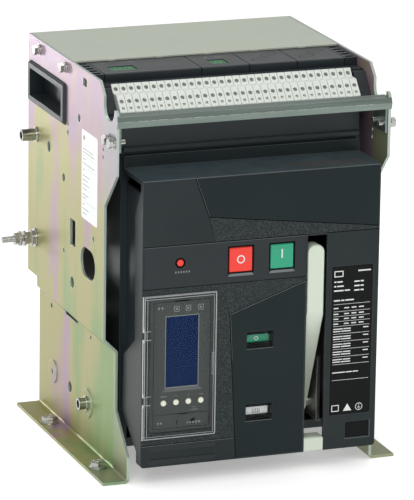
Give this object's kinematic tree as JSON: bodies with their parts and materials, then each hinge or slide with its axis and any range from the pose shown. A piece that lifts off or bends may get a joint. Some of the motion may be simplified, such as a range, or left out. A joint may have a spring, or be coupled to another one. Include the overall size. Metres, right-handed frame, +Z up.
{
  "type": "low-voltage air circuit breaker",
  "caption": "Fixed-mount air circuit breaker with side plates on bent feet, front cover with trip unit and push buttons, a charging handle and rear terminals.",
  "frame": {"origin": "centre of the four foot bolt holes, on the underside of the feet", "axes": "+X to the right seen from the front, +Y to the back (the busbar side), +Z up"},
  "size_m": [0.301, 0.3025, 0.352],
  "materials": {
    "passivated_sheet": "iridescent zinc passivate",
    "zinc_fasteners": "zinc plated",
    "cross_bar_steel": "dull grey-green",
    "cover_sheet": "grey-green passivate",
    "mechanism_steel": "plain",
    "black_moulding": "fine spark texture",
    "panel_moulding": "textured",
    "pole_moulding": "thermoset",
    "chute_fibre": "fibre board",
    "trip_housing": "olive grey",
    "clear_plastic": "clear",
    "screen": "deep blue",
    "terminal_plastic": "off-white",
    "green_plug": "green",
    "red_button": "red",
    "green_button": "green",
    "cream_plastic": "cream",
    "copper": "bare copper, tin at the joints"
  },
  "bodies": {
    "frame": {"accessory_blanks": "black_moulding", "accessory_double": "black_moulding", "accessory_plugs": "green_plug", "accessory_single": "black_moulding", "arc_chutes": "chute_fibre", "barrier_plate": "pole_moulding", "button_fascia": "panel_moulding", "closing_spring": "zinc_fasteners", "contact_pins": "zinc_fasteners", "cross_bar": "cross_bar_steel", "current_transformers": "pole_moulding", "earth_nuts": "zinc_fasteners", "earth_stud": "zinc_fasteners", "end_blocks": "black_moulding", "frame_bolts": "zinc_fasteners", "front_cover": "black_moulding", "front_housing": "black_moulding", "handhold_left": "black_moulding", "handhold_right": "black_moulding", "handle_pin": "zinc_fasteners", "lower_terminals": "copper", "mechanism_fascia": "panel_moulding", "mechanism_frame": "mechanism_steel", "rear_housing": "pole_moulding", "side_plate_left": "passivated_sheet", "side_plate_right": "passivated_sheet", "slot_sill": "cream_plastic", "splitter_plates": "mechanism_steel", "support_pins": "zinc_fasteners", "terminal_blocks": "terminal_plastic", "terminal_screws": "zinc_fasteners", "terminal_support": "black_moulding", "top_cover": "cover_sheet", "trip_door_pins": "zinc_fasteners", "trip_screen": "screen", "trip_unit": "trip_housing", "upper_fascia": "panel_moulding", "upper_terminals": "copper", "window_lenses": "clear_plastic"},
    "handle": {"charging_handle": "cream_plastic"},
    "on_button": {"on_button": "green_button"},
    "off_button": {"off_button": "red_button"},
    "reset_button": {"reset_button": "red_button"},
    "key_1": {"trip_key_1": "cream_plastic"},
    "key_2": {"trip_key_2": "cream_plastic"},
    "key_3": {"trip_key_3": "cream_plastic"},
    "key_4": {"trip_key_4": "cream_plastic"},
    "door": {"trip_door": "clear_plastic"},
    "pole_shaft": {"pole_shaft": "mechanism_steel"},
    "contact_1": {"moving_contact_1": "copper"},
    "contact_2": {"moving_contact_2": "copper"},
    "contact_3": {"moving_contact_3": "copper"},
    "state_flag": {"state_flag": "green_button"},
    "charge_flag": {"charge_flag": "cream_plastic"},
    "charging_shaft": {"charging_shaft": "mechanism_steel", "ratchet_wheel": "mechanism_steel"},
    "close_latch": {"close_latch": "mechanism_steel"},
    "trip_latch": {"trip_latch": "mechanism_steel"}
  },
  "joints": [
    {"name": "charging_handle_swing", "type": "hinge", "parent": "frame", "child": "handle", "pos_m": [0.051, -0.0865, 0.052], "axis": [1, 0, 0], "range_deg": [0, 75], "stiffness_Nm_per_rad": 0.2, "springref_deg": -28.65},
    {"name": "on_button_press", "type": "slide", "parent": "frame", "child": "on_button", "axis": [0, 1, 0], "range_m": [0, 0.004], "stiffness_N_per_m": 800},
    {"name": "off_button_press", "type": "slide", "parent": "frame", "child": "off_button", "axis": [0, 1, 0], "range_m": [0, 0.004], "stiffness_N_per_m": 800},
    {"name": "reset_button_press", "type": "slide", "parent": "frame", "child": "reset_button", "axis": [0, 1, 0], "range_m": [0, 0.003], "stiffness_N_per_m": 600},
    {"name": "trip_key_1_press", "type": "slide", "parent": "frame", "child": "key_1", "axis": [0, 1, 0], "range_m": [0, 0.0007], "stiffness_N_per_m": 1500},
    {"name": "trip_key_2_press", "type": "slide", "parent": "frame", "child": "key_2", "axis": [0, 1, 0], "range_m": [0, 0.0007], "stiffness_N_per_m": 1500},
    {"name": "trip_key_3_press", "type": "slide", "parent": "frame", "child": "key_3", "axis": [0, 1, 0], "range_m": [0, 0.0007], "stiffness_N_per_m": 1500},
    {"name": "trip_key_4_press", "type": "slide", "parent": "frame", "child": "key_4", "axis": [0, 1, 0], "range_m": [0, 0.0007], "stiffness_N_per_m": 1500},
    {"name": "trip_door_swing", "type": "hinge", "parent": "frame", "child": "door", "pos_m": [-0.1086, -0.1327, 0.11], "axis": [0, 0, -1], "range_deg": [0, 120]},
    {"name": "pole_shaft_turn", "type": "hinge", "parent": "frame", "child": "pole_shaft", "pos_m": [0, -0.062, 0.178], "axis": [1, 0, 0], "range_deg": [0, 50]},
    {"name": "contact_1_swing", "type": "hinge", "parent": "frame", "child": "contact_1", "pos_m": [-0.072, 0.008, 0.12], "axis": [-1, 0, 0], "range_deg": [0, 14.5]},
    {"name": "contact_2_swing", "type": "hinge", "parent": "frame", "child": "contact_2", "pos_m": [0, 0.008, 0.12], "axis": [-1, 0, 0], "range_deg": [0, 14.5]},
    {"name": "contact_3_swing", "type": "hinge", "parent": "frame", "child": "contact_3", "pos_m": [0.072, 0.008, 0.12], "axis": [-1, 0, 0], "range_deg": [0, 14.5]},
    {"name": "state_flag_step", "type": "slide", "parent": "frame", "child": "state_flag", "axis": [0, 0, 1], "range_m": [0, 0.014]},
    {"name": "charging_shaft_turn", "type": "hinge", "parent": "frame", "child": "charging_shaft", "pos_m": [0, -0.074, 0.118], "axis": [1, 0, 0], "range_deg": [0, 170]},
    {"name": "charge_flag_step", "type": "slide", "parent": "frame", "child": "charge_flag", "axis": [0, 0, 1], "range_m": [0, 0.014]},
    {"name": "close_latch_swing", "type": "hinge", "parent": "frame", "child": "close_latch", "pos_m": [0.0187, -0.095, 0.178], "axis": [-1, 0, 0], "range_deg": [0, 11.5]},
    {"name": "trip_latch_swing", "type": "hinge", "parent": "frame", "child": "trip_latch", "pos_m": [-0.0195, -0.095, 0.178], "axis": [-1, 0, 0], "range_deg": [0, 11.5]}
  ],
  "couplings": [
    {"joint": "contact_1_swing", "follows": "pole_shaft_turn", "ratio": 0.29},
    {"joint": "contact_2_swing", "follows": "pole_shaft_turn", "ratio": 0.29},
    {"joint": "contact_3_swing", "follows": "pole_shaft_turn", "ratio": 0.29},
    {"joint": "state_flag_step", "follows": "pole_shaft_turn", "m_per_rad": 0.016042},
    {"joint": "charge_flag_step", "follows": "charging_shaft_turn", "m_per_rad": 0.004718},
    {"joint": "close_latch_swing", "follows": "on_button_press", "rad_per_m": 50},
    {"joint": "trip_latch_swing", "follows": "off_button_press", "rad_per_m": 50}
  ]
}
